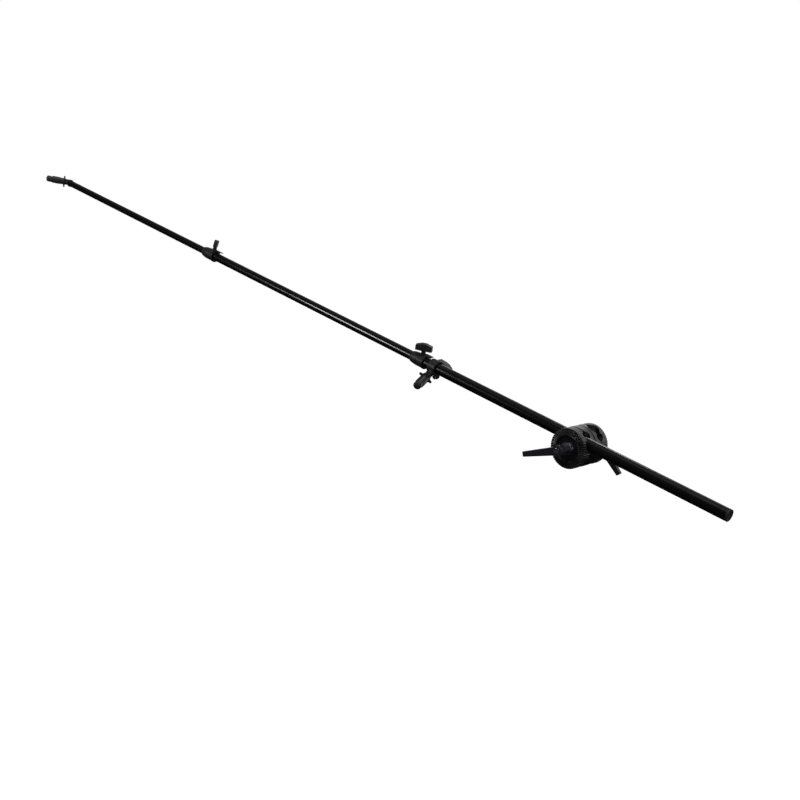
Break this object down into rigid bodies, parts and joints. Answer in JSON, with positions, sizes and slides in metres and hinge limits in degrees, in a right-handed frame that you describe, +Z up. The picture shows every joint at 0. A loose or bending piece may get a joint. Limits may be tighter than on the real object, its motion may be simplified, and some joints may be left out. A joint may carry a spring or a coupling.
{
  "type": "reflector holder",
  "caption": "Black telescopic boom arm with a double grip head for a light stand, lock collars with T knobs, and sprung rim clips for a round reflector.",
  "frame": {"origin": "on the axis of the light stand's stud in the rear jaws, at the height of the head's centre bolt, where the rear jaws meet", "axes": "+Z is up along the stud, the head's centre bolt runs along Y with the boom on the -Y side, and the boom's tip rises towards -X"},
  "size_m": [1.7473, 0.1429, 0.5142],
  "materials": {
    "cast_black": "black cast, satin",
    "satin_black": "satin black anodised",
    "black_plastic": "moulded matte black",
    "plated_steel": "bright plated",
    "plain_steel": "plain",
    "brass": "turned",
    "friction_fibre": "pressed fibre"
  },
  "bodies": {
    "grip_base": {"rear_inner_jaw": "cast_black", "centre_stud": "plain_steel", "friction_washer": "friction_fibre"},
    "front_jaws": {"front_inner_jaw": "cast_black"},
    "rear_outer": {"rear_outer_jaw": "cast_black"},
    "rear_clamp": {"rear_lever_insert": "plated_steel", "rear_lever_washer": "plated_steel", "rear_lever_screw": "plated_steel", "rear_lever_spring": "plain_steel"},
    "rear_handle": {"rear_lever": "cast_black"},
    "front_outer": {"front_outer_jaw": "cast_black"},
    "front_clamp": {"front_lever_insert": "plated_steel", "front_lever_washer": "plated_steel", "front_lever_screw": "plated_steel", "front_lever_spring": "plain_steel"},
    "front_handle": {"front_lever": "cast_black"},
    "boom": {"base_tube": "satin_black", "base_tube_end_plug": "black_plastic", "base_lock_collar": "black_plastic"},
    "middle": {"middle_tube": "satin_black", "middle_tube_guide_plug": "black_plastic", "middle_lock_collar": "black_plastic"},
    "tip": {"tip_tube": "satin_black", "tip_tube_guide_plug": "black_plastic", "tip_socket": "black_plastic"},
    "saddle": {"saddle_ring": "black_plastic", "saddle_bolt": "plated_steel", "saddle_nut": "plated_steel"},
    "base_shoe": {"base_lock_shoe": "brass"},
    "base_knob": {"base_lock_knob": "black_plastic", "base_lock_screw": "plain_steel"},
    "middle_shoe": {"middle_lock_shoe": "brass"},
    "middle_knob": {"middle_lock_knob": "black_plastic", "middle_lock_screw": "plain_steel"},
    "saddle_shoe": {"saddle_lock_shoe": "brass"},
    "saddle_knob": {"saddle_lock_knob": "black_plastic", "saddle_lock_screw": "plain_steel"},
    "tip_swivel": {"tip_clip_knuckle": "black_plastic", "tip_clip_retainer": "plain_steel"},
    "tip_arm": {"tip_clip_base": "black_plastic", "tip_clip_pivot_pin": "plated_steel", "tip_clip_barrel": "black_plastic", "tip_clip_spring": "plain_steel"},
    "tip_hook": {"tip_clip_hook": "black_plastic", "tip_clip_rod_nut": "plated_steel"},
    "saddle_swivel": {"saddle_clip_knuckle": "black_plastic", "saddle_clip_retainer": "plain_steel"},
    "saddle_arm": {"saddle_clip_base": "black_plastic", "saddle_clip_pivot_pin": "plated_steel", "saddle_clip_barrel": "black_plastic", "saddle_clip_spring": "plain_steel"},
    "saddle_hook": {"saddle_clip_hook": "black_plastic", "saddle_clip_rod_nut": "plated_steel"}
  },
  "joints": [
    {"name": "head_swivel", "type": "hinge", "parent": "grip_base", "child": "front_jaws", "pos_m": [-0.0148, -0.0296, 0], "axis": [0, -1, 0], "continuous": true},
    {"name": "rear_jaw_opening", "type": "slide", "parent": "grip_base", "child": "rear_outer", "axis": [0, 1, 0], "range_m": [0, 0.003]},
    {"name": "rear_clamp_turn", "type": "hinge", "parent": "rear_outer", "child": "rear_clamp", "pos_m": [-0.0148, 0, 0], "axis": [0, 1, 0], "range_deg": [0, 720]},
    {"name": "rear_lever_lift", "type": "slide", "parent": "rear_clamp", "child": "rear_handle", "axis": [0, 1, 0], "range_m": [0, 0.002], "stiffness_N_per_m": 400, "springref_m": -0.002, "deforming": ["rear_lever_spring"]},
    {"name": "front_jaw_opening", "type": "slide", "parent": "front_jaws", "child": "front_outer", "axis": [0, -1, 0], "range_m": [0, 0.003]},
    {"name": "front_clamp_turn", "type": "hinge", "parent": "front_outer", "child": "front_clamp", "pos_m": [-0.0148, -0.0296, 0], "axis": [0, -1, 0], "range_deg": [0, 720]},
    {"name": "front_lever_lift", "type": "slide", "parent": "front_clamp", "child": "front_handle", "axis": [0, -1, 0], "range_m": [0, 0.002], "stiffness_N_per_m": 400, "springref_m": -0.002, "deforming": ["front_lever_spring"]},
    {"name": "boom_slide", "type": "slide", "parent": "front_jaws", "child": "boom", "axis": [-0.9613, 0, 0.2756], "range_m": [-0.08, 0.2]},
    {"name": "middle_slide", "type": "slide", "parent": "boom", "child": "middle", "axis": [-0.9613, 0, 0.2756], "range_m": [-0.54, 0]},
    {"name": "tip_slide", "type": "slide", "parent": "middle", "child": "tip", "axis": [-0.9613, 0, 0.2756], "range_m": [-0.5, 0]},
    {"name": "saddle_slide", "type": "slide", "parent": "boom", "child": "saddle", "axis": [-0.9613, 0, 0.2756], "range_m": [-0.06, 0.008]},
    {"name": "base_lock_press", "type": "slide", "parent": "boom", "child": "base_shoe", "axis": [0.2733, -0.1305, 0.953], "range_m": [0, 0.0008]},
    {"name": "base_lock_turn", "type": "hinge", "parent": "base_shoe", "child": "base_knob", "pos_m": [-0.32628, -0.03131, 0.11822], "axis": [0.2733, -0.1305, 0.953], "range_deg": [0, 360]},
    {"name": "middle_lock_press", "type": "slide", "parent": "middle", "child": "middle_shoe", "axis": [0.2722, 0.1564, 0.9494], "range_m": [0, 0.0008]},
    {"name": "middle_lock_turn", "type": "hinge", "parent": "middle_shoe", "child": "middle_knob", "pos_m": [-0.9063, -0.0276, 0.28418], "axis": [0.2722, 0.1564, 0.9494], "range_deg": [0, 360]},
    {"name": "saddle_lock_press", "type": "slide", "parent": "saddle", "child": "saddle_shoe", "axis": [0, 1, 0], "range_m": [0, 0.0008]},
    {"name": "saddle_lock_turn", "type": "hinge", "parent": "saddle_shoe", "child": "saddle_knob", "pos_m": [-0.30054, -0.0163, 0.09733], "axis": [0, 1, 0], "range_deg": [0, 360]},
    {"name": "tip_clip_swivel", "type": "hinge", "parent": "tip", "child": "tip_swivel", "pos_m": [-1.45406, -0.0296, 0.4281], "axis": [-0.9613, 0, 0.2756], "continuous": true},
    {"name": "tip_clip_tilt", "type": "hinge", "parent": "tip_swivel", "child": "tip_arm", "pos_m": [-1.4603, -0.0296, 0.42989], "axis": [0.2756, 0, 0.9613], "range_deg": [-40, 40]},
    {"name": "tip_clip_pull", "type": "slide", "parent": "tip_arm", "child": "tip_hook", "axis": [-0.6677, -0.7193, 0.1915], "range_m": [0, 0.006], "stiffness_N_per_m": 300, "springref_m": -0.004, "deforming": ["tip_clip_spring"]},
    {"name": "saddle_clip_swivel", "type": "hinge", "parent": "saddle", "child": "saddle_swivel", "pos_m": [-0.30317, -0.03984, 0.08815], "axis": [-0.188, -0.7314, -0.6556], "continuous": true},
    {"name": "saddle_clip_tilt", "type": "hinge", "parent": "saddle_swivel", "child": "saddle_arm", "pos_m": [-0.3044, -0.04459, 0.08389], "axis": [-0.653, -0.4055, 0.6397], "range_deg": [-40, 40]},
    {"name": "saddle_clip_pull", "type": "slide", "parent": "saddle_arm", "child": "saddle_hook", "axis": [0.3395, -0.9117, -0.2315], "range_m": [0, 0.006], "stiffness_N_per_m": 300, "springref_m": -0.004, "deforming": ["saddle_clip_spring"]}
  ],
  "couplings": [
    {"joint": "rear_clamp_turn", "follows": "rear_jaw_opening", "rad_per_m": 4188.8},
    {"joint": "front_clamp_turn", "follows": "front_jaw_opening", "rad_per_m": 4188.8},
    {"joint": "base_lock_turn", "follows": "base_lock_press", "rad_per_m": 7854},
    {"joint": "middle_lock_turn", "follows": "middle_lock_press", "rad_per_m": 7854},
    {"joint": "saddle_lock_turn", "follows": "saddle_lock_press", "rad_per_m": 7854}
  ]
}
